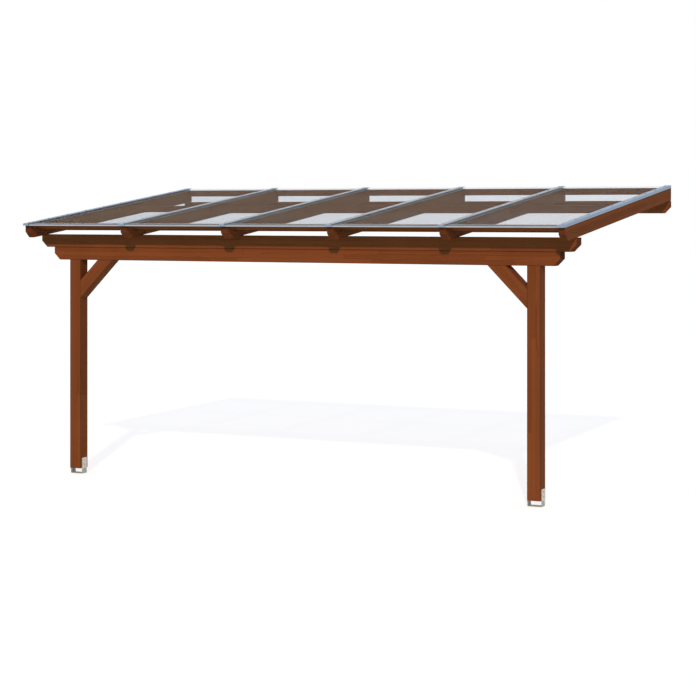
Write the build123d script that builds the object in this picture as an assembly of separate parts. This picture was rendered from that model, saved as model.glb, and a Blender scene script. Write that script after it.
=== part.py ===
from build123d import *
import math
import os

# Attached patio cover of square glulam timber: two posts, a double front beam,
# six sloping rafters, clear twin-wall roof sheets and a purlin that bears on a wall.
# Millimetres. X runs along the wall, +Y points to the wall, +Z is up.
# Heights are measured from the ground while the pieces are made. The finished
# pieces are then lowered, so that the origin lies on the wall purlin's back face.

# Layout
bay_count = 5
bay_pitch = 1070.0
roof_pitch = 7.0
post_centre_x = 2323.0
front_beam_overhang = 176.0
front_beam_reach = 2659.0
rafter_overhang = 267.0

# Timber sections
post_size = 120.0
post_length = 1980.0
front_beam_height = 120.0
eave_purlin_height = 120.0
front_timber_depth = 120.0
wall_purlin_depth = 50.0
wall_purlin_height = 120.0
rafter_width = 60.0
rafter_depth = 120.0
seat_depth = 2.0
tail_cut_length = 60.0
tail_cut_height = 54.0
batten_depth = 45.0
batten_height = 60.0
eave_batten_setback = 125.0
brace_width = 120.0
brace_depth = 120.0
brace_reach = 276.0
end_cut = 60.0
timber_chamfer = 3.0

# Post brackets
bracket_thickness = 6.0
bracket_width = 70.0
bracket_height = 150.0
bracket_bend_radius = 8.0
post_foot_height = 52.0
flange_hole_radius = 5.5
flange_hole_heights = (85.0, 125.0)
anchor_hole_radius = 6.0
anchor_hole_spacing = 70.0

# Roof sheets
sheet_thickness = 16.0
sheet_gap = 20.0
sheet_skin = 0.9
sheet_web = 0.8
sheet_cells = 30
sheet_front_overhang = 30.0
sheet_back_setback = 5.0

# Glazing bars and gaskets
gasket_thickness = 3.0
seal_thickness = 3.0
seal_width = 10.0
seal_inset = 3.0
cover_wall = 2.0
cover_lip_clearance = 0.5
cover_stem_clearance = 3.0
cover_front_clearance = 5.0

# Closing profiles on the sheets' front edges
eave_profile_wall = 1.5
eave_profile_leg = 24.0

# Worked out from the sizes above
slope = math.tan(math.radians(roof_pitch))
slope_cos = math.cos(math.radians(roof_pitch))
rafter_count = bay_count + 1
half_width = (bay_count * bay_pitch + rafter_width) / 2
front_beam_half = post_centre_x + post_size / 2 + front_beam_overhang
front_face_y = -front_beam_reach
rafter_front_y = front_face_y - rafter_overhang
front_beam_bottom = post_foot_height + post_length
eave_purlin_bottom = front_beam_bottom + front_beam_height
eave_purlin_top = eave_purlin_bottom + eave_purlin_height
front_centre_y = front_face_y + front_timber_depth / 2
post_centre_y = front_face_y + post_size / 2
underside_at_wall = eave_purlin_top - seat_depth - slope * front_face_y
wall_purlin_top = underside_at_wall - slope * wall_purlin_depth + seat_depth
wall_purlin_bottom = wall_purlin_top - wall_purlin_height
rafter_top_at_wall = underside_at_wall + rafter_depth / slope_cos
origin_height = wall_purlin_bottom + wall_purlin_height / 2
rafter_front_run = rafter_front_y / slope_cos
bay_clear = bay_pitch - rafter_width
eave_batten_run = (rafter_front_y + eave_batten_setback) / slope_cos
wall_batten_run = -batten_depth - batten_height * slope
sheet_width = bay_pitch - sheet_gap
sheet_front_run = rafter_front_run - sheet_front_overhang
sheet_bottom = gasket_thickness
sheet_top = sheet_bottom + sheet_thickness
cover_width = rafter_width
cover_stem_width = sheet_gap - 2 * cover_stem_clearance
cover_underside = sheet_top + seal_thickness
cover_top = cover_underside + cover_wall
cover_front_run = sheet_front_run - eave_profile_wall - cover_front_clearance

# Roof frame: origin on the rafters' top at the wall, Y up the slope, Z square to it
roof = Location((0, 0, rafter_top_at_wall), (roof_pitch, 0, 0))
to_origin = Location((0, 0, -origin_height))


def rafter_x(index):
    return (index - (rafter_count - 1) / 2) * bay_pitch


def bay_x(index):
    return (rafter_x(index) + rafter_x(index + 1)) / 2


def prism(points, plane, depth):
    # A closed outline in a plane, extruded evenly to both sides
    face = make_face(Polyline(*points, close=True))
    return extrude(plane * face, amount=depth / 2, both=True)


def eased_box(size_x, size_y, size_z, axis):
    # A planed timber with its four long edges chamfered
    timber = Box(size_x, size_y, size_z)
    return chamfer(timber.edges().filter_by(axis), timber_chamfer)


def post(side):
    timber = eased_box(post_size, post_size, post_length, Axis.Z)
    height = post_foot_height + post_length / 2
    return Pos(side * post_centre_x, post_centre_y, height) * timber


def level_timber(half_length, depth, height, centre_y, bottom):
    # A beam along X, whose lower end corners are cut off at 45 degrees
    timber = eased_box(2 * half_length, depth, height, Axis.X)
    for side in (-1, 1):
        corner = [
            (side * (half_length - end_cut), -height / 2),
            (side * half_length, -height / 2 + end_cut),
            (side * (half_length + end_cut), -height / 2),
        ]
        timber -= prism(corner, Plane.XZ, 2 * depth)
    return Pos(0, centre_y, bottom + height / 2) * timber


def brace(side):
    # A 45 degree brace with a plumb cut at the post and a level cut at the beam
    inner = brace_reach - brace_width / math.sqrt(2)
    outer = brace_reach + brace_width / math.sqrt(2)
    outline = [(0, -inner), (inner, 0), (outer, 0), (0, -outer)]
    body = prism(outline, Plane.XZ, brace_depth)
    long_edges = [e for e in body.edges() if abs(e.tangent_at(0).X * e.tangent_at(0).Z) > 0.1]
    body = chamfer(long_edges, timber_chamfer)
    if side > 0:
        body = mirror(body, about=Plane.YZ)
    corner_x = side * (post_centre_x - post_size / 2)
    return Pos(corner_x, front_face_y + brace_depth / 2, front_beam_bottom) * body


def post_bracket(side):
    # A flat bar bent to a U, which holds the post clear of the ground
    inner = post_size
    outer = inner + 2 * bracket_thickness
    body = Pos(0, 0, bracket_height / 2) * Box(outer, bracket_width, bracket_height)
    body = fillet(body.edges().filter_by(Axis.Y).group_by(Axis.Z)[0], bracket_bend_radius)
    pocket_height = bracket_height - bracket_thickness
    pocket = Box(inner, 2 * bracket_width, pocket_height)
    pocket_radius = bracket_bend_radius - bracket_thickness
    pocket = fillet(pocket.edges().filter_by(Axis.Y).group_by(Axis.Z)[0], pocket_radius)
    body -= Pos(0, 0, bracket_thickness + pocket_height / 2) * pocket
    for height in flange_hole_heights:
        body -= Pos(0, 0, height) * Rot(0, 90, 0) * Cylinder(flange_hole_radius, 2 * outer)
    for end in (-1, 1):
        hole = Cylinder(anchor_hole_radius, 4 * bracket_thickness)
        body -= Pos(end * anchor_hole_spacing / 2, 0, bracket_thickness / 2) * hole
    return Pos(side * post_centre_x, post_centre_y, 0) * body


def rafter(index):
    # Side outline with plumb ends and a cut tail corner, then seats over both purlins
    def underside(y):
        return underside_at_wall + slope * y

    def top(y):
        return rafter_top_at_wall + slope * y

    cut_y = rafter_front_y + tail_cut_length
    outline = [
        (0, underside(0)),
        (0, top(0)),
        (rafter_front_y, top(rafter_front_y)),
        (rafter_front_y, underside(cut_y) + tail_cut_height),
        (cut_y, underside(cut_y)),
    ]
    body = prism(outline, Plane.YZ, rafter_width)
    long_edges = [e for e in body.edges() if abs(e.tangent_at(0).X) < 0.1 and e.length > rafter_depth]
    body = chamfer(long_edges, timber_chamfer)
    eave_block = Box(2 * rafter_width, front_timber_depth, eave_purlin_height)
    body -= Pos(0, front_centre_y, eave_purlin_top - eave_purlin_height / 2) * eave_block
    wall_block = Box(2 * rafter_width, 2 * wall_purlin_depth, wall_purlin_height)
    body -= Pos(0, 0, wall_purlin_top - wall_purlin_height / 2) * wall_block
    return Pos(rafter_x(index), 0, 0) * body


def batten(index, front_run):
    # A cross batten between two rafters, flush with their tops
    timber = eased_box(bay_clear, batten_depth, batten_height, Axis.X)
    return roof * Pos(bay_x(index), front_run + batten_depth / 2, -batten_height / 2) * timber


def eave_batten(index):
    return batten(index, eave_batten_run)


def wall_batten(index):
    return batten(index, wall_batten_run)


def mid_battens():
    # A row of battens midway between the eave battens and the wall battens
    front_run = (eave_batten_run + wall_batten_run) / 2
    return Compound(children=[batten(index, front_run) for index in range(bay_count)])


def roof_sheet(index):
    # Twin-wall sheet: two skins joined by upright webs that run down the slope
    length = -sheet_back_setback - sheet_front_run
    cell_pitch = (sheet_width - sheet_web) / sheet_cells
    outline = Rectangle(sheet_width, sheet_thickness)
    cell = Rectangle(cell_pitch - sheet_web, sheet_thickness - 2 * sheet_skin)
    cells = [Pos((i - (sheet_cells - 1) / 2) * cell_pitch, 0) * cell for i in range(sheet_cells)]
    section = outline - cells
    body = extrude(Plane.XZ * section, amount=length / 2, both=True)
    mid_run = (sheet_front_run - sheet_back_setback) / 2
    return roof * Pos(bay_x(index), mid_run, sheet_bottom + sheet_thickness / 2) * body


def cover_profile(index):
    # Aluminium cover bar: a cap over two sheets, a hollow stem that stands between
    # them and, on the two outer rafters, a skirt that closes the open side
    run = -cover_front_run
    edges = []
    if index == 0:
        edges = [-1]
    if index == rafter_count - 1:
        edges = [1]
    stem_drop = cover_underside - gasket_thickness
    lip_drop = seal_thickness - eave_profile_wall - cover_lip_clearance
    section = Pos(0, cover_underside + cover_wall / 2) * Rectangle(cover_width, cover_wall)
    for side in (-1, 1):
        drop = stem_drop if side in edges else lip_drop
        edge_x = side * (cover_width - cover_wall) / 2
        section += Pos(edge_x, cover_underside - drop / 2) * Rectangle(cover_wall, drop)
        stem_x = side * (cover_stem_width - cover_wall) / 2
        section += Pos(stem_x, cover_underside - stem_drop / 2) * Rectangle(cover_wall, stem_drop)
    body = extrude(Plane.XZ * section, amount=run / 2, both=True)
    cap_height = cover_top - gasket_thickness
    end_plate = Box(cover_width, cover_wall, cap_height)
    plate_run = -run / 2 - cover_wall / 2
    body += Pos(0, plate_run, gasket_thickness + cap_height / 2) * end_plate
    return roof * Pos(rafter_x(index), cover_front_run / 2, 0) * body


def eave_profile(index):
    # Channel pushed over the sheet's front edge
    wall = eave_profile_wall
    front = sheet_front_run - wall
    bottom = sheet_bottom - wall
    top = sheet_top + wall
    back = front + eave_profile_leg
    outline = [
        (front, bottom),
        (front, top),
        (back, top),
        (back, top - wall),
        (front + wall, top - wall),
        (front + wall, bottom + wall),
        (back, bottom + wall),
        (back, bottom),
    ]
    return roof * Pos(bay_x(index), 0, 0) * prism(outline, Plane.YZ, sheet_width)


def glazing_gaskets():
    # Rubber strips under the sheets on every rafter, and seals under the cover bars
    strips = []
    seal_front = sheet_front_run - eave_profile_wall + eave_profile_leg
    for index in range(rafter_count):
        length = -rafter_front_run
        base = Box(cover_width, length, gasket_thickness)
        strips.append(Pos(rafter_x(index), -length / 2, gasket_thickness / 2) * base)
        for side in (-1, 1):
            outside = (side < 0 and index == 0) or (side > 0 and index == rafter_count - 1)
            if outside:
                continue
            run = -sheet_back_setback - seal_front
            seal = Box(seal_width, run, seal_thickness)
            seal_x = side * (cover_width / 2 - seal_inset - seal_width / 2)
            mid_run = (seal_front - sheet_back_setback) / 2
            strips.append(Pos(rafter_x(index) + seal_x, mid_run, sheet_top + seal_thickness / 2) * seal)
    return Compound(children=[roof * strip for strip in strips])


def write(shape, name):
    export_step(to_origin * shape, f"parts/{name}.step")


os.makedirs("parts", exist_ok=True)

for side, label in ((-1, "left"), (1, "right")):
    write(post(side), f"post_{label}")
    write(post_bracket(side), f"post_bracket_{label}")
    write(brace(side), f"brace_{label}")

front_beam = level_timber(
    front_beam_half, front_timber_depth, front_beam_height, front_centre_y, front_beam_bottom
)
eave_purlin = level_timber(
    half_width, front_timber_depth, eave_purlin_height, front_centre_y, eave_purlin_bottom
)
wall_purlin = level_timber(
    half_width, wall_purlin_depth, wall_purlin_height, -wall_purlin_depth / 2, wall_purlin_bottom
)
write(front_beam, "front_beam")
write(eave_purlin, "eave_purlin")
write(wall_purlin, "wall_purlin")

for index in range(rafter_count):
    write(rafter(index), f"rafter_{index + 1}")
    write(cover_profile(index), f"cover_profile_{index + 1}")

for index in range(bay_count):
    write(eave_batten(index), f"eave_batten_{index + 1}")
    write(wall_batten(index), f"wall_batten_{index + 1}")
    write(roof_sheet(index), f"roof_sheet_{index + 1}")
    write(eave_profile(index), f"eave_profile_{index + 1}")

write(mid_battens(), "mid_battens")
write(glazing_gaskets(), "glazing_gaskets")
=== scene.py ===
import math
import bpy
import numpy as np
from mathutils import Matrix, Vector


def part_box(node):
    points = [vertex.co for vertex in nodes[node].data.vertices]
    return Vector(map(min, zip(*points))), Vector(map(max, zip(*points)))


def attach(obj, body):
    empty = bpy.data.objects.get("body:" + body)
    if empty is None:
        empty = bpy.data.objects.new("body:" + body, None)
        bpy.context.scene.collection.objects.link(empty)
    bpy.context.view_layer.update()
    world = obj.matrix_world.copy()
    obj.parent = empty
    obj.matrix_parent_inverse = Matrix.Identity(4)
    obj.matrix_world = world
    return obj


# Attached patio cover of stained glulam timber under clear twin-wall sheets.
# Metres in the model's frame: X along the wall, +Y to the wall, +Z up, with the origin on the
# wall purlin's back face.
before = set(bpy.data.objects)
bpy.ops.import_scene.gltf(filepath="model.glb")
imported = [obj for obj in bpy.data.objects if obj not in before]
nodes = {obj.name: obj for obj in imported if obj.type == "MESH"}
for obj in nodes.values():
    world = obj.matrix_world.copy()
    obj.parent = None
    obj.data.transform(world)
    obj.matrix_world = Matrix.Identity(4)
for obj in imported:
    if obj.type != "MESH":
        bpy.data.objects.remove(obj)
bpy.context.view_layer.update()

# The photograph's camera, fitted to its edges
photo_side = 696
focal_pixels = 1913.66
vanishing_column = 348.95
horizon_row = 211.89
camera_place = (8.1359, -17.7646, -0.0458)
camera_yaw = math.radians(26.558)
sensor_width = 36.0
farthest_seen = 300

# Light: a sun from the front right, and an even pale sky over a pale floor
sun_travel = (-0.45, 1.0, -0.604)
sun_strength = 2.2
sun_colour = (1.0, 0.645, 0.478)
sun_angle = math.radians(1.5)
sky_colour = (0.59, 1.0, 1.23)
sky_strength = 0.6
floor_side = 160.0
floor_albedo = 0.86
floor_seen_colour = (0.25, 0.39, 0.52)
floor_glow = (0.86, 0.72, 0.6)
# A view along the roof may pass this many skins and webs
most_see_through = 64

# Sizes of the frame that the finishes follow
bays = 5
roof_pitch = math.radians(7.0)
lamella = 0.04
batten_width = 0.045
batten_height = 0.06
sheet_width = 1.05
sheet_cells = 30
sheet_web = 0.0008
flange_hole_heights = (0.085, 0.125)
cover_top = 0.024
screw_spacing = 0.3
front_screw_inset = 0.06
wall_screw_inset = 0.09

# Directions up and square to the roof, and how far the rafters' tops are from the origin in the
# second one
up_slope = np.array((0.0, math.cos(roof_pitch), math.sin(roof_pitch)))
off_slope = np.array((0.0, -math.sin(roof_pitch), math.cos(roof_pitch)))
rafter_top_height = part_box("rafter_1")[1].z * math.cos(roof_pitch)

# How far the painted shade at a timber's edges reaches in from them. It is more at the eave
# battens, where it stands for the shadow under the eave profile.
edge_reach = 0.0036
eave_edge_reach = 0.01

# What a sheet adds to its own shadow, and how thick a milky film is at each sheet's front, left to
# right
sheet_shadow_share = 0.3
sheet_front_films = (0.22, 0.25, 0.29, 0.4, 0.5)

# Heights over the rafters under which the bars' sides get a painted pale highlight and over which
# a painted dark shade line lies, and two that no bar reaches
sheet_mid_height = 0.011
eave_shade_line_height = 0.0145
under_all = -1.0
over_all = 1.0


class Value:
    """A shader socket. Arithmetic on it adds Math nodes to its finish."""

    def __init__(self, finish, socket):
        self.finish = finish
        self.socket = socket

    def math(self, operation, *others):
        return self.finish.math(operation, self, *others)

    def __add__(self, other):
        return self.math("ADD", other)

    def __sub__(self, other):
        return self.math("SUBTRACT", other)

    def __mul__(self, other):
        return self.math("MULTIPLY", other)

    def __truediv__(self, other):
        return self.math("DIVIDE", other)

    def __pow__(self, other):
        return self.math("POWER", other)

    def __rsub__(self, other):
        return self.finish.math("SUBTRACT", other, self)

    def __abs__(self):
        return self.math("ABSOLUTE")

    __radd__ = __add__

    def floor(self):
        return self.math("FLOOR")

    def fraction(self):
        return self.math("FRACT")

    def rise(self, low, high):
        """0 up to low and 1 from high on, with a smooth step between them. With low above high it
        falls instead, from 1 at high to 0 at low."""
        ends = {1: low, 2: high} if low < high else {1: high, 2: low, 3: 1.0, 4: 0.0}
        settings = {"interpolation_type": "SMOOTHSTEP"}
        return self.finish.node("ShaderNodeMapRange", settings, {0: self, **ends})


class Finish:
    """The node tree of a material or of the world, with the methods that add its nodes."""

    def __init__(self, owner):
        self.owner = owner
        owner.use_nodes = True
        self.tree = owner.node_tree
        self.tree.nodes.clear()

    def node(self, kind, settings=None, inputs=None, output=0):
        """A node of any type: its settings first, then its sockets' values or links."""
        made = self.tree.nodes.new(kind)
        for key, value in (settings or {}).items():
            setattr(made, key, value)
        for key, value in (inputs or {}).items():
            if isinstance(value, Value):
                self.tree.links.new(value.socket, made.inputs[key])
            else:
                made.inputs[key].default_value = value
        return Value(self, made.outputs[output]) if len(made.outputs) else None

    def math(self, operation, *values):
        return self.node("ShaderNodeMath", {"operation": operation}, dict(enumerate(values)))

    def vector_math(self, operation, a, b, output=0):
        settings = {"operation": operation}
        return self.node("ShaderNodeVectorMath", settings, {0: a, 1: b}, output)

    def dot(self, a, b):
        return self.vector_math("DOT_PRODUCT", a, b, "Value")

    def point(self):
        return self.node("ShaderNodeTexCoord", output="Object")

    def facing(self):
        return self.node("ShaderNodeTexCoord", output="Normal")

    def vector(self, x, y, z):
        return self.node("ShaderNodeCombineXYZ", inputs={0: x, 1: y, 2: z})

    def noise(self, vector, scale, detail=2.0, roughness=0.5):
        values = {"Vector": vector, "Scale": scale, "Detail": detail, "Roughness": roughness}
        return self.node("ShaderNodeTexNoise", inputs=values)

    def random(self, x, y, z):
        """Three even random numbers from 0 to 1, others for each x, y and z."""
        settings = {"noise_dimensions": "3D"}
        values = {"Vector": self.vector(x, y, z)}
        return self.parts(self.node("ShaderNodeTexWhiteNoise", settings, values, "Color"))

    def parts(self, vector):
        """The X, Y and Z of a vector, or the parts of a colour."""
        values = {0: vector}
        return [
            self.node("ShaderNodeSeparateXYZ", inputs=values, output=axis) for axis in range(3)
        ]

    def blend(self, factor, a, b, kind="MIX"):
        """Colour a, turned by factor into b, or with another kind of mix."""
        settings = {"data_type": "RGBA", "blend_type": kind}
        return self.node("ShaderNodeMix", settings, {0: factor, 6: a, 7: b}, 2)

    def shaded(self, colour, strength):
        """The colour times a number that varies over the surface."""
        return self.blend(1.0, colour, self.vector(strength, strength, strength), "MULTIPLY")

    def bump(self, height, distance, strength):
        values = {"Height": height, "Distance": distance, "Strength": strength}
        return self.node("ShaderNodeBump", inputs=values)

    def principled(self, **values):
        """The main shader. A socket's name is given with _ for each space."""
        inputs = {key.replace("_", " "): value for key, value in values.items()}
        return self.node("ShaderNodeBsdfPrincipled", inputs=inputs)

    def seen_directly(self):
        """1 for rays from the camera, off metal or through clear plastic, and 0 for those that
        light the object."""
        rays = [
            self.node("ShaderNodeLightPath", output=name)
            for name in ("Is Camera Ray", "Is Glossy Ray", "Is Transmission Ray")
        ]
        return rays[0].math("MAXIMUM", rays[1]).math("MAXIMUM", rays[2])

    def surface(self, shader, output="ShaderNodeOutputMaterial"):
        self.node(output, inputs={"Surface": shader})
        return self.owner


def new_finish(name):
    return Finish(bpy.data.materials.new(name))


def rgb(red, green, blue):
    return (red, green, blue, 1.0)


def srgb(red, green, blue):
    """A colour of 0 to 255 parts as linear light."""
    parts = np.array([red, green, blue]) / 255
    linear = np.where(parts <= 0.04045, parts / 12.92, ((parts + 0.055) / 1.055) ** 2.4)
    return (*linear.tolist(), 1.0)


def squares(along):
    """Two directions square to along, which has length 1, and to each other."""
    along = np.array(along)
    upright = abs(along[2]) >= 0.9
    first = np.array((1.0, 0.0, 0.0)) if upright else np.cross(along, (0.0, 0.0, 1.0))
    first = first / np.linalg.norm(first)
    return first, np.cross(along, first)


def timber_finish(
    name, centre, along, upright, half_across, half_upright, seed,
    layer=lamella, dark_edge=edge_reach,
):
    """Nut-brown stained spruce. It is a solid of layers glued on each other along upright, each
    made of boards that are finger-jointed end to end. A board's growth rings are circles about
    its own pith line, whose distance r = sqrt(v^2 + w^2) from a point, warped by noise, gives
    light and dark wood."""
    finish = new_finish(name)
    along = np.array(along) / np.linalg.norm(along)
    upright = np.array(upright) / np.linalg.norm(upright)
    across = np.cross(upright, along)
    offset = finish.vector_math("SUBTRACT", finish.point(), tuple(centre))
    u = finish.dot(offset, tuple(along))
    v = finish.dot(offset, tuple(across))
    w = finish.dot(offset, tuple(upright))

    # Layers and boards. Both outer faces are just inside the outer layers.
    just_inside = 0.999
    joint_spacing = 1.35
    finger_length = 0.016
    finger_pitch = 0.0062
    most_boards_shifted = 7
    level = (w * just_inside + half_upright) / layer
    layer_number = level.floor()
    across_layer = (level.fraction() - 0.5) * layer
    zigzag = abs((v / finger_pitch).fraction() - 0.5) * (2 * finger_length)
    start = finish.random(layer_number, seed, 0.5)[0]
    board_place = (u + zigzag) / joint_spacing + start * most_boards_shifted
    board_number = board_place.floor()
    luck, pith_side, pith_depth = finish.random(layer_number, board_number, seed + 0.5)

    # Growth rings. A board's luck, times some number, takes its noise from a place of its own.
    ring_width = 0.0036
    ring_warp = 0.028
    pith_side_range = 0.12
    pith_least_depth = 0.022
    pith_depth_range = 0.05
    warp_place = finish.vector(u * 0.9 + luck * 31, v * 9, w * 9)
    warp = (finish.noise(warp_place, 1.0) - 0.5) * ring_warp
    ring_v = v + (pith_side - 0.5) * pith_side_range
    ring_w = across_layer + pith_depth * pith_depth_range + pith_least_depth
    radius = (ring_v * ring_v + ring_w * ring_w) ** 0.5 + warp
    ring = (radius / ring_width + luck * 5).fraction()
    late_wood = ring.rise(0.35, 0.92) * ring.rise(1.0, 0.94)

    # Fibres, streaks and clouds
    fibre = finish.noise(finish.vector(u * 5 + luck * 13, v * 420, w * 420), 1.0)
    streak = finish.noise(finish.vector(u * 0.8 + luck * 57, v * 60, w * 60), 1.0, 3.0, 0.6)
    cloud = finish.noise(finish.point(), 2.3)

    # Glue lines and finger joints, dark up to line_core from their middle and gone from line_side
    # on. The outer faces are no glue lines.
    line_core = 0.0003
    line_side = 0.0009
    glue_line = abs(across_layer).rise(layer / 2 - line_side, layer / 2 - line_core)
    glue_line = glue_line * abs(w).rise(half_upright - 0.002, half_upright - 0.004)
    joint = abs(board_place.fraction() - 0.5)
    joint = joint.rise(0.5 - line_side / joint_spacing, 0.5 - line_core / joint_spacing)
    seam = glue_line.math("MAXIMUM", joint)

    # Painted shade along the edges, patchy in part, darker end grain, and painted shade on the
    # upright sides that face along X, which get less light
    edge_v = abs(v) - (half_across - dark_edge)
    edge_w = abs(w) - (half_upright - dark_edge)
    edge = edge_v.math("MINIMUM", edge_w).rise(-0.0012, 0.0008)
    edge_shade_noise = finish.noise(finish.vector(u * 9, v * 60, w * 60), 1.0)
    patchy_edge_shade = edge * edge_shade_noise.rise(0.25, 0.6)
    end_grain = abs(finish.dot(finish.facing(), tuple(along))).rise(0.35, 0.85)
    # Painted shade on the upright sides that face along X
    side_shade = abs(finish.dot(finish.facing(), (1.0, 0.0, 0.0))).rise(0.6, 0.95)

    early_colour = srgb(135, 75, 39)
    late_colour = srgb(100, 51, 24)
    shift_colour = srgb(114, 58, 36)
    colour = finish.blend(late_wood * 0.6 + 0.12, early_colour, late_colour)
    colour = finish.blend(streak.rise(0.45, 0.8) * 0.45, colour, shift_colour)
    shade = 0.86 + luck * 0.2 + (fibre - 0.5) * 0.32 + (streak - 0.5) * 0.28 + (cloud - 0.5) * 0.22
    shade = shade * (1 - seam * 0.42)
    # Painted shade along the edges, patchy in part, and on the sides that face along X
    shade = shade * (1 - edge * 0.3 - patchy_edge_shade * 0.16)
    shade = shade * (1 - end_grain * 0.38) * (1 - side_shade * 0.1)
    height = late_wood * 0.35 + fibre * 0.5 - seam * 0.8
    shader = finish.principled(
        Base_Color=finish.shaded(colour, shade),
        Roughness=0.7 + (streak - 0.5) * 0.25 + end_grain * 0.15,
        Specular_IOR_Level=0.02,
        Normal=finish.bump(height, 0.0006, 0.6),
    )
    return finish.surface(shader)


def sheet_finish(name, left, front, front_film):
    """Clear twin-wall plastic. Each skin and web lets most light through, with a thin milky rib
    where a web stands, at every cell from the sheet's left edge. A milky brown film grows thicker
    towards the front, up to front_film, and there is dirt in the cells at the front edge."""
    # How far a rib reaches from its web's middle, and dirt and the milky film from the front edge:
    # in full, and where they end
    rib_full, rib_end = 0.0006, 0.0018
    dirt_and_shade_full, dirt_and_shade_end = 0.06, 0.09
    film_full, film_end = 0.4, 2.6
    finish = new_finish(name)
    place = finish.point()
    x = finish.dot(place, (1.0, 0.0, 0.0))
    cell = (sheet_width - sheet_web) / sheet_cells
    rib = abs(((x - left - sheet_web / 2) / cell + 0.5).fraction() - 0.5)
    rib = rib.rise(rib_end / cell, rib_full / cell)
    drawn_place = finish.vector(x * 3, finish.dot(place, (0.0, 0.35, 0.35)), 0.0)
    haze = finish.noise(drawn_place, 4.0, 3.0)
    run = finish.dot(place, (0.0, 1.0, 0.0)) - front + (haze - 0.5) * 0.02
    dirt_and_shade = run.rise(dirt_and_shade_end, dirt_and_shade_full)
    # A milky brown film that grows towards each sheet's front
    film_amount = run.rise(film_end, film_full) * front_film
    shadow_ray = finish.node("ShaderNodeLightPath", output="Is Shadow Ray")
    milky = (0.026 + rib * 0.043 + (haze - 0.5) * 0.008) * (1.04 + film_amount)
    share = milky + dirt_and_shade * 0.4 + shadow_ray * sheet_shadow_share
    colour = finish.blend(haze, srgb(180, 129, 89), srgb(197, 146, 106))
    colour = finish.blend(film_amount, colour, srgb(128, 100, 74))
    colour = finish.blend(dirt_and_shade, colour, srgb(46, 44, 42))
    skin = finish.principled(
        Base_Color=colour,
        Roughness=0.16 + (haze - 0.5) * 0.1,
        Specular_IOR_Level=0.12,
        Normal=finish.bump(haze, 0.0008, 0.3),
    )
    clear = finish.node("ShaderNodeBsdfTransparent", inputs={"Color": srgb(252.3, 253.5, 254.9)})
    return finish.surface(finish.node("ShaderNodeMixShader", inputs={0: share, 1: clear, 2: skin}))


def aluminium_finish(name, along, dull, bright, pale_from, shade_line_from):
    """Mill aluminium drawn through a die: fine lines along the bar, in clouds between two colours.
    The sawn ends and upright sides get a painted blue reflection of the sky, the sides a painted
    pale highlight below one given height over the rafters, and a painted dark shade line lies
    above another given height."""
    finish = new_finish(name)
    place = finish.point()
    run = finish.dot(place, tuple(along))
    beside = [finish.dot(place, tuple(axis)) for axis in squares(along)]
    lines = finish.noise(finish.vector(run * 2, beside[0] * 700, beside[1] * 700), 1.0)
    cloud = finish.noise(place, 6.0, 3.0)
    shade = 0.9 + (lines - 0.5) * 0.3 + (cloud - 0.5) * 0.16
    colour = finish.blend(cloud, dull, bright)
    height = finish.dot(place, tuple(off_slope)) - rafter_top_height
    side = abs(finish.dot(finish.facing(), (1.0, 0.0, 0.0))).rise(0.5, 0.9)
    # Painted pale highlight, with less metal, on the bar sides below a given height
    pale = height.rise(pale_from + 0.002, pale_from - 0.002)
    # Painted dark shade line, with less metal, above a given height
    shade_line = height.rise(shade_line_from - 0.001, shade_line_from + 0.001) * (1 - lines * 0.3)
    # Painted blue reflection of the sky on the sawn ends and the upright sides
    end = abs(finish.dot(finish.facing(), tuple(along))).rise(0.6, 0.9)
    colour = finish.blend(end, colour, srgb(146, 168, 188))
    colour = finish.blend(side, colour, srgb(118, 148, 178))
    colour = finish.blend(side * pale, colour, srgb(246, 242, 236))
    colour = finish.blend(shade_line, colour, srgb(42, 43, 48))
    shader = finish.principled(
        Base_Color=finish.shaded(colour, shade),
        Metallic=0.85 - side * pale * 0.8 - shade_line * 0.7,
        Roughness=0.36 + (lines - 0.5) * 0.2 + (cloud - 0.5) * 0.1,
        Normal=finish.bump(lines, 0.0002, 0.4),
    )
    return finish.surface(shader)


def zinc_finish(name, clean, ground):
    """Hot-dip zinc: flat grey crystals of 6 to 12 mm, each with its own shade and gloss, under a
    painted green-grey shade near the ground."""
    crystals_a_metre = 110.0
    dirt_and_shade_full, dirt_and_shade_end = 0.04, 0.058
    finish = new_finish(name)
    place = finish.point()
    wave = finish.noise(place, 70.0) * 0.004
    bent = finish.vector_math("ADD", place, finish.vector(wave, wave, wave))
    values = {"Vector": bent, "Scale": crystals_a_metre}
    crystal = finish.node("ShaderNodeTexVoronoi", {"feature": "F1"}, values, "Color")
    luck = finish.parts(crystal)[0]
    cloud = finish.noise(place, 25.0, 3.0)
    shade = 0.86 + luck * 0.14 + (cloud - 0.5) * 0.2
    height = finish.dot(place, (0.0, 0.0, 1.0)) - ground
    # Painted green-grey shade, with less metal, up to a few centimetres over the ground
    dirt_and_shade = (height + (cloud - 0.5) * 0.03).rise(dirt_and_shade_end, dirt_and_shade_full)
    colour = finish.blend(dirt_and_shade, clean, srgb(168, 175, 163))
    shader = finish.principled(
        Base_Color=finish.shaded(colour, shade),
        Metallic=0.7 - dirt_and_shade * 0.5,
        Roughness=0.42 + luck * 0.16,
        Normal=finish.bump(luck * 0.3 + cloud * 0.7, 0.0003, 0.5),
    )
    return finish.surface(shader)


def rubber_finish(name):
    """Matt grey rubber with a fine bloom."""
    finish = new_finish(name)
    bloom = finish.noise(finish.point(), 180.0, 3.0)
    shader = finish.principled(
        Base_Color=finish.blend(bloom, srgb(186, 182, 176), srgb(204, 198, 190)),
        Roughness=0.7 + bloom * 0.2,
        Specular_IOR_Level=0.3,
        Normal=finish.bump(bloom, 0.0003, 0.4),
    )
    return finish.surface(shader)


def dress(node_name, material):
    mesh = nodes[node_name].data
    mesh.materials.clear()
    mesh.materials.append(material)


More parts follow.
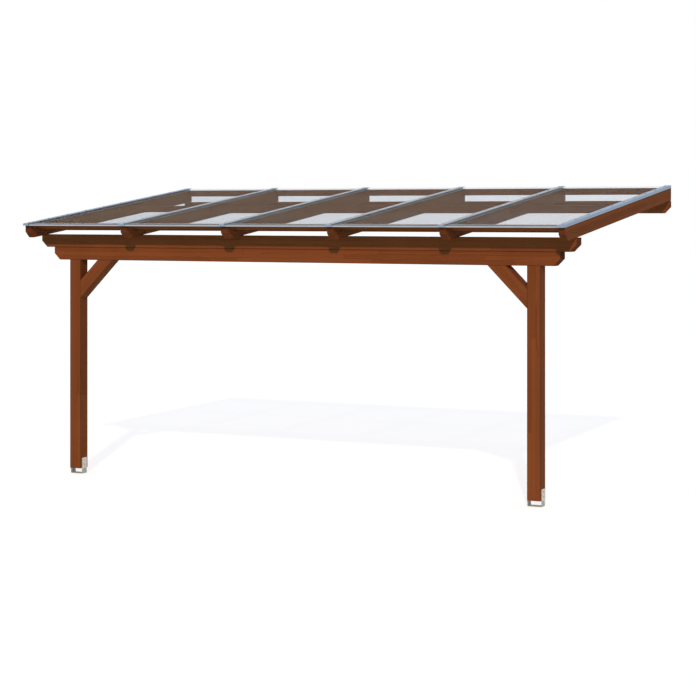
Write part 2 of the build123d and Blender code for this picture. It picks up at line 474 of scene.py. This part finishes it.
def middle(node_name):
    low, high = (np.array(corner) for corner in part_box(node_name))
    return (low + high) / 2


def half_size(node_name):
    low, high = (np.array(corner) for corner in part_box(node_name))
    return (high - low) / 2


def dress_timber():
    """Every timber gets a finish of its own, with the next seed."""
    seed = 1
    for side in ("left", "right"):
        name = "post_" + side
        half = half_size(name)
        material = timber_finish(
            "timber_" + name, middle(name), (0, 0, 1), (1, 0, 0), half[1], half[0], seed
        )
        dress(name, material)
        seed += 1
    for name in ("front_beam", "eave_purlin", "wall_purlin"):
        half = half_size(name)
        material = timber_finish(
            "timber_" + name, middle(name), (1, 0, 0), (0, 0, 1), half[1], half[2], seed
        )
        dress(name, material)
        seed += 1

    # The braces and the rafters are as deep as the beam
    half_depth = half_size("front_beam")[2]
    for side, sign in (("left", 1), ("right", -1)):
        name = "brace_" + side
        away = np.array((sign, 0, -1)) / math.sqrt(2)
        centre = middle(name) - away * half_depth
        half = half_size(name)[1]
        material = timber_finish(
            "timber_" + name, centre, (sign, 0, 1), away, half, half_depth, seed
        )
        dress(name, material)
        seed += 1
    for number in range(1, bays + 2):
        name = "rafter_%d" % number
        centre = middle(name)
        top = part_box(name)[1].z
        centre[1:] = np.array((0.0, top)) - off_slope[1:] * half_depth
        half = half_size(name)[0]
        material = timber_finish(
            "timber_" + name, centre, up_slope, off_slope, half, half_depth, seed
        )
        dress(name, material)
        seed += 1

    # A batten is one layer
    halves = (batten_width / 2, batten_height / 2)
    # The eave battens get a wider painted edge shade, which stands for the shadow under the eave
    # profile
    for kind, dark_edge in (("eave_batten", eave_edge_reach), ("wall_batten", edge_reach)):
        for number in range(1, bays + 1):
            name = "%s_%d" % (kind, number)
            material = timber_finish(
                "timber_" + name, middle(name), (1, 0, 0), off_slope, *halves, seed,
                batten_height, dark_edge,
            )
            dress(name, material)
            seed += 1
    name = "mid_battens"
    material = timber_finish(
        "timber_" + name, middle(name), (1, 0, 0), off_slope, *halves, seed, batten_height
    )
    dress(name, material)


def dress_trim():
    """The finishes of the roof and of the metal, and the screws that only the scene has."""
    colours = (srgb(140, 149, 161), srgb(153, 159, 167))
    inner_bar = aluminium_finish(
        "aluminium_inner_bar", up_slope, *colours, sheet_mid_height, over_all
    )
    # The outer bars' bluer colours are a painted reflection of the sky on the same aluminium
    colours = (srgb(118, 141, 170), srgb(134, 154, 180))
    outer_bar = aluminium_finish("aluminium_outer_bar", up_slope, *colours, under_all, over_all)
    colours = (srgb(174, 181, 188), srgb(188, 192, 196))
    closing = aluminium_finish(
        "aluminium_closing", (1.0, 0.0, 0.0), *colours, 0.0, eave_shade_line_height
    )
    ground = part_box("post_bracket_left")[0].z
    bracket_zinc = zinc_finish("zinc_bracket", srgb(218, 211, 199), ground)
    coach_zinc = zinc_finish("zinc_coach_screw", srgb(200, 199, 194), ground)
    cover_zinc = zinc_finish("zinc_cover_screw", srgb(150, 168, 186), ground)
    rubber = rubber_finish("gasket_rubber")
    for number in range(1, bays + 2):
        bar = outer_bar if number in (1, bays + 1) else inner_bar
        dress("cover_profile_%d" % number, bar)
    for number, front_film in enumerate(sheet_front_films, 1):
        name = "roof_sheet_%d" % number
        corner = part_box(name)[0]
        dress(name, sheet_finish("clear_sheet_%d" % number, corner.x, corner.y, front_film))
        dress("eave_profile_%d" % number, closing)
    for side in ("left", "right"):
        dress("post_bracket_" + side, bracket_zinc)
    dress("glazing_gaskets", rubber)
    add_post_screws(coach_zinc)
    add_cover_screws(cover_zinc, rubber)


def turned(rows, steps=24):
    """Points and faces of a body turned about Z. A row (height, size, corners) is a ring whose
    radius is size * (1 - corners + corners / cos(angle from the middle of the nearest flat)), so
    that corners 0 gives a circle and 1 a hexagon. The first and the last row are single points on
    the axis."""
    rows = np.array(rows)
    angle = np.arange(steps) * (2 * math.pi / steps)
    from_flat = (angle + math.pi / 6) % (math.pi / 3) - math.pi / 6
    height, size, corners = (rows[1:-1, column, None] for column in range(3))
    radius = size * (1 - corners + corners / np.cos(from_flat))
    rings = np.stack([radius * np.cos(angle), radius * np.sin(angle), height + 0 * radius], axis=2)
    points = np.vstack([[[0, 0, rows[0, 0]]], rings.reshape(-1, 3), [[0, 0, rows[-1, 0]]]])
    here = np.arange(steps)
    beside = (here + 1) % steps
    start = 1 + np.arange(len(rows) - 3)[:, None] * steps
    above = start + steps
    sides = np.stack([start + here, start + beside, above + beside, above + here], axis=2)
    last = len(points) - 1
    bottom = np.stack([0 * here, 1 + beside, 1 + here], axis=1)
    top = np.stack([0 * here + last, last - steps + here, last - steps + beside], axis=1)
    return points, [sides.reshape(-1, 4), bottom, top]


def fasteners(name, body, spots, axes, material):
    """One mesh with a copy of a turned body at each spot, its Z along that spot's axis."""
    points, face_sets = body
    axes = np.array(axes, dtype=float)
    axes /= np.linalg.norm(axes, axis=1)[:, None]
    frames = np.array([np.array([*squares(axis), axis]) for axis in axes])
    placed = np.einsum("vk,mkc->mvc", points, frames) + np.array(spots)[:, None, :]
    offsets = (np.arange(len(placed)) * len(points))[:, None, None]
    faces = []
    for face_set in face_sets:
        faces += (face_set[None] + offsets).reshape(-1, face_set.shape[1]).tolist()
    mesh = bpy.data.meshes.new(name)
    mesh.from_pydata(placed.reshape(-1, 3).tolist(), [], faces)
    mesh.materials.append(material)
    piece = bpy.data.objects.new(name, mesh)
    bpy.context.scene.collection.objects.link(piece)
    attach(piece, "root")


# Rows of height and size in metres, from the face that the fastener sits on, and of corners
coach_screw = turned([
    (0.0, 0.0, 0.0), (0.0, 0.01, 0.0), (0.0017, 0.01, 0.0), (0.002, 0.0097, 0.0),
    (0.002, 0.0082, 1.0), (0.0023, 0.0085, 1.0), (0.0078, 0.0085, 1.0), (0.0085, 0.0083, 0.5),
    (0.009, 0.0078, 0.0), (0.009, 0.0, 0.0),
])
cover_screw = turned([
    (0.0016, 0.0, 0.0), (0.0016, 0.008, 0.0), (0.0022, 0.0081, 0.0), (0.0027, 0.0072, 0.0),
    (0.0031, 0.005, 0.0), (0.0032, 0.004, 1.0), (0.0068, 0.004, 1.0), (0.0072, 0.0036, 0.0),
    (0.0072, 0.0, 0.0),
])
cover_washer = turned([
    (0.0, 0.0, 0.0), (0.0, 0.0068, 0.0), (0.0004, 0.0073, 0.0), (0.0012, 0.0073, 0.0),
    (0.0016, 0.0069, 0.0), (0.0016, 0.0, 0.0),
])


def add_post_screws(zinc):
    """A coach screw and washer in every hole of the brackets' flanges."""
    for side in ("left", "right"):
        low, high = (np.array(corner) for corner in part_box("post_bracket_" + side))
        centre_y = (low[1] + high[1]) / 2
        ends = ((high[0], 1), (low[0], -1))
        holes = [(x, sign, height) for x, sign in ends for height in flange_hole_heights]
        spots = [(x, centre_y, low[2] + height) for x, sign, height in holes]
        axes = [(sign, 0, 0) for x, sign, height in holes]
        fasteners("coach_screws_" + side, coach_screw, spots, axes, zinc)


def add_cover_screws(zinc, rubber):
    """Screws with sealing washers along the top of each cover bar."""
    for number in range(1, bays + 2):
        low, high = (np.array(corner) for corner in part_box("cover_profile_%d" % number))
        middle_x = (low[0] + high[0]) / 2
        wall_end = np.array((middle_x, -cover_top * math.sin(roof_pitch), high[2]))
        length = (wall_end[1] - low[1]) / math.cos(roof_pitch)
        count = round((length - front_screw_inset - wall_screw_inset) / screw_spacing) + 1
        runs = np.linspace(wall_screw_inset, length - front_screw_inset, count)
        spots = wall_end - runs[:, None] * up_slope
        axes = [off_slope] * count
        fasteners("cover_screws_%d" % number, cover_screw, spots, axes, zinc)
        fasteners("cover_washers_%d" % number, cover_washer, spots, axes, rubber)


def set_camera():
    camera = bpy.data.objects.new("camera", bpy.data.cameras.new("camera"))
    bpy.context.scene.collection.objects.link(camera)
    camera.location = camera_place
    camera.rotation_euler = (math.pi / 2, 0, camera_yaw)
    camera.data.sensor_width = sensor_width
    camera.data.lens = focal_pixels * sensor_width / photo_side
    camera.data.shift_x = (photo_side / 2 - vanishing_column) / photo_side
    camera.data.shift_y = (horizon_row - photo_side / 2) / photo_side
    camera.data.clip_end = farthest_seen
    bpy.context.scene.camera = camera


def set_light():
    sun = bpy.data.objects.new("sun", bpy.data.lights.new("sun", "SUN"))
    bpy.context.scene.collection.objects.link(sun)
    sun.rotation_euler = Vector(sun_travel).to_track_quat("-Z", "Y").to_euler()
    sun.data.energy = sun_strength
    sun.data.color = sun_colour
    sun.data.angle = sun_angle


def set_world():
    """The sky lights the object evenly. The camera, metal and clear plastic see it plain white."""
    world = bpy.data.worlds.new("sky")
    bpy.context.scene.world = world
    finish = Finish(world)
    values = {"Color": rgb(*sky_colour), "Strength": sky_strength}
    sky = finish.node("ShaderNodeBackground", inputs=values)
    white = finish.node("ShaderNodeBackground", inputs={"Color": rgb(1.0, 1.0, 1.0)})
    values = {0: finish.seen_directly(), 1: sky, 2: white}
    finish.surface(finish.node("ShaderNodeMixShader", inputs=values), "ShaderNodeOutputWorld")


def make_floor():
    """A plain pale floor that shows the object's shadow faintly."""
    half = floor_side / 2
    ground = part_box("post_bracket_left")[0].z
    mesh = bpy.data.meshes.new("floor")
    corners = [(x * half, y * half, ground) for x, y in ((-1, -1), (1, -1), (1, 1), (-1, 1))]
    mesh.from_pydata(corners, [], [(0, 1, 2, 3)])
    floor = bpy.data.objects.new("floor", mesh)
    bpy.context.scene.collection.objects.link(floor)
    finish = new_finish("floor_paint")
    matt_colour = rgb(floor_albedo, floor_albedo, floor_albedo)
    matt = finish.node("ShaderNodeBsdfDiffuse", inputs={"Color": matt_colour})
    dim = finish.node("ShaderNodeBsdfDiffuse", inputs={"Color": rgb(*floor_seen_colour)})
    glow = finish.node("ShaderNodeEmission", inputs={"Color": rgb(*floor_glow)})
    seen = finish.node("ShaderNodeAddShader", inputs={0: dim, 1: glow})
    values = {0: finish.seen_directly(), 1: matt, 2: seen}
    mesh.materials.append(finish.surface(finish.node("ShaderNodeMixShader", inputs=values)))


dress_timber()
dress_trim()
set_camera()
set_light()
set_world()
make_floor()
bpy.context.scene.view_settings.view_transform = "Standard"
bpy.context.scene.cycles.transparent_max_bounces = most_see_through
